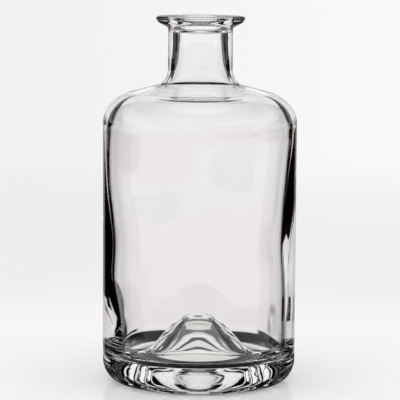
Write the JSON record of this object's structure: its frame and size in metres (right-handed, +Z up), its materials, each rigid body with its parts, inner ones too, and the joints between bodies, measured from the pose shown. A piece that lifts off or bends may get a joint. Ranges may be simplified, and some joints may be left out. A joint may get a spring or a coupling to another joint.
{
  "type": "apothecary bottle",
  "caption": "Round apothecary bottle of clear glass with a flared lip, open mouth, straight neck, rounded shoulder, thick base and a domed punt.",
  "frame": {"origin": "centre of the flat ring that the bottle stands on", "axes": "+Z up along the bottle's axis, from the foot to the mouth; +X and +Y lie in the plane of the foot"},
  "size_m": [0.086, 0.086, 0.1628],
  "materials": {
    "clear_glass": "clear colourless glass, smooth outside, with a slightly wavy inner surface"
  },
  "bodies": {
    "root": {"glass_bottle": "clear_glass"}
  },
  "joints": []
}
